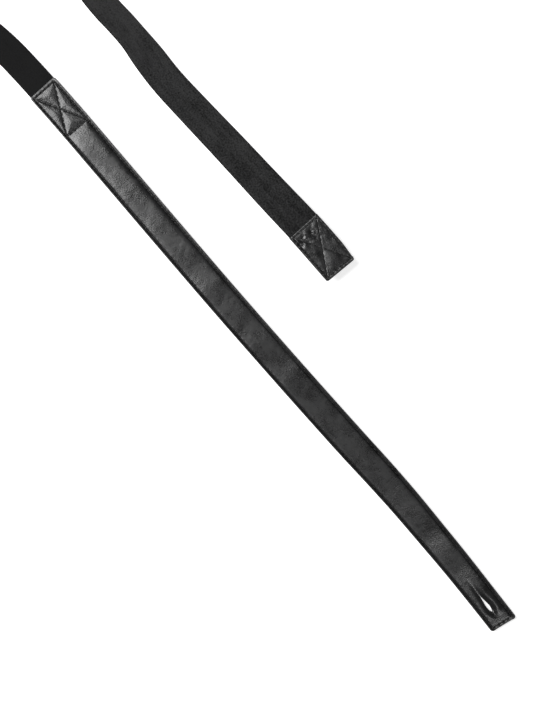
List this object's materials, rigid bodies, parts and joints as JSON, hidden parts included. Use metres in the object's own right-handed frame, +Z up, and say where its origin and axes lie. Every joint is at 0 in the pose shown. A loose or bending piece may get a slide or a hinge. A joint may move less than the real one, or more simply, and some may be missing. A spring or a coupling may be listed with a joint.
{
  "type": "eye patch",
  "caption": "Black leather eye patch with a padded cup, elastic side straps, a long leather strap with a buttonhole slit and a short tab with a sewn-on button.",
  "frame": {"origin": "middle of the footprint, on the table", "axes": "+X from the patch along the straps to their ends, +Y from the long strap towards the tab's strap, +Z up, the side of the patch that faces away from the eye"},
  "size_m": [0.4088, 0.067, 0.014],
  "materials": {
    "face_leather": "smooth black leather, satin",
    "back_leather": "split leather, matte",
    "lining": "brushed lining, matte",
    "interlining": "pressed fibre, matte",
    "padding": "felt, matte",
    "elastic": "woven elastic, matte",
    "thread": "waxed thread",
    "button": "moulded, satin"
  },
  "bodies": {
    "patch": {"patch_shell": "face_leather", "patch_pad": "padding", "patch_lining": "lining", "patch_rim_thread": "thread", "left_ear_thread": "thread", "right_ear_thread": "thread"},
    "left_band": {"left_elastic": "elastic"},
    "long_strap": {"strap_front": "face_leather", "strap_core": "interlining", "strap_back": "back_leather", "strap_edge_thread": "thread", "strap_cross_thread": "thread"},
    "right_band": {"right_elastic": "elastic"},
    "tab": {"tab_front": "face_leather", "tab_stay": "interlining", "tab_back": "back_leather", "tab_edge_thread": "thread", "tab_cross_thread": "thread"},
    "button": {"button": "button", "button_thread": "thread"}
  },
  "joints": [
    {"name": "left_fold", "type": "hinge", "parent": "patch", "child": "left_band", "pos_m": [-0.14491, -0.0245, 0.00135], "axis": [0, -1, 0], "range_deg": [0, 75], "deforming": ["left_elastic"]},
    {"name": "left_stretch", "type": "slide", "parent": "left_band", "child": "long_strap", "axis": [1, 0, 0], "range_m": [0, 0.03], "stiffness_N_per_m": 160, "deforming": ["left_elastic"]},
    {"name": "right_fold", "type": "hinge", "parent": "patch", "child": "right_band", "pos_m": [-0.14491, 0.0245, 0.00135], "axis": [0, -1, 0], "range_deg": [0, 75], "deforming": ["right_elastic"]},
    {"name": "right_stretch", "type": "slide", "parent": "right_band", "child": "tab", "axis": [1, 0, 0], "range_m": [0, 0.06], "stiffness_N_per_m": 80, "deforming": ["right_elastic"]},
    {"name": "button_swivel", "type": "hinge", "parent": "tab", "child": "button", "pos_m": [0.04289, 0.02275, 0.0035], "axis": [0, 0, 1], "range_deg": [-45, 45]}
  ]
}
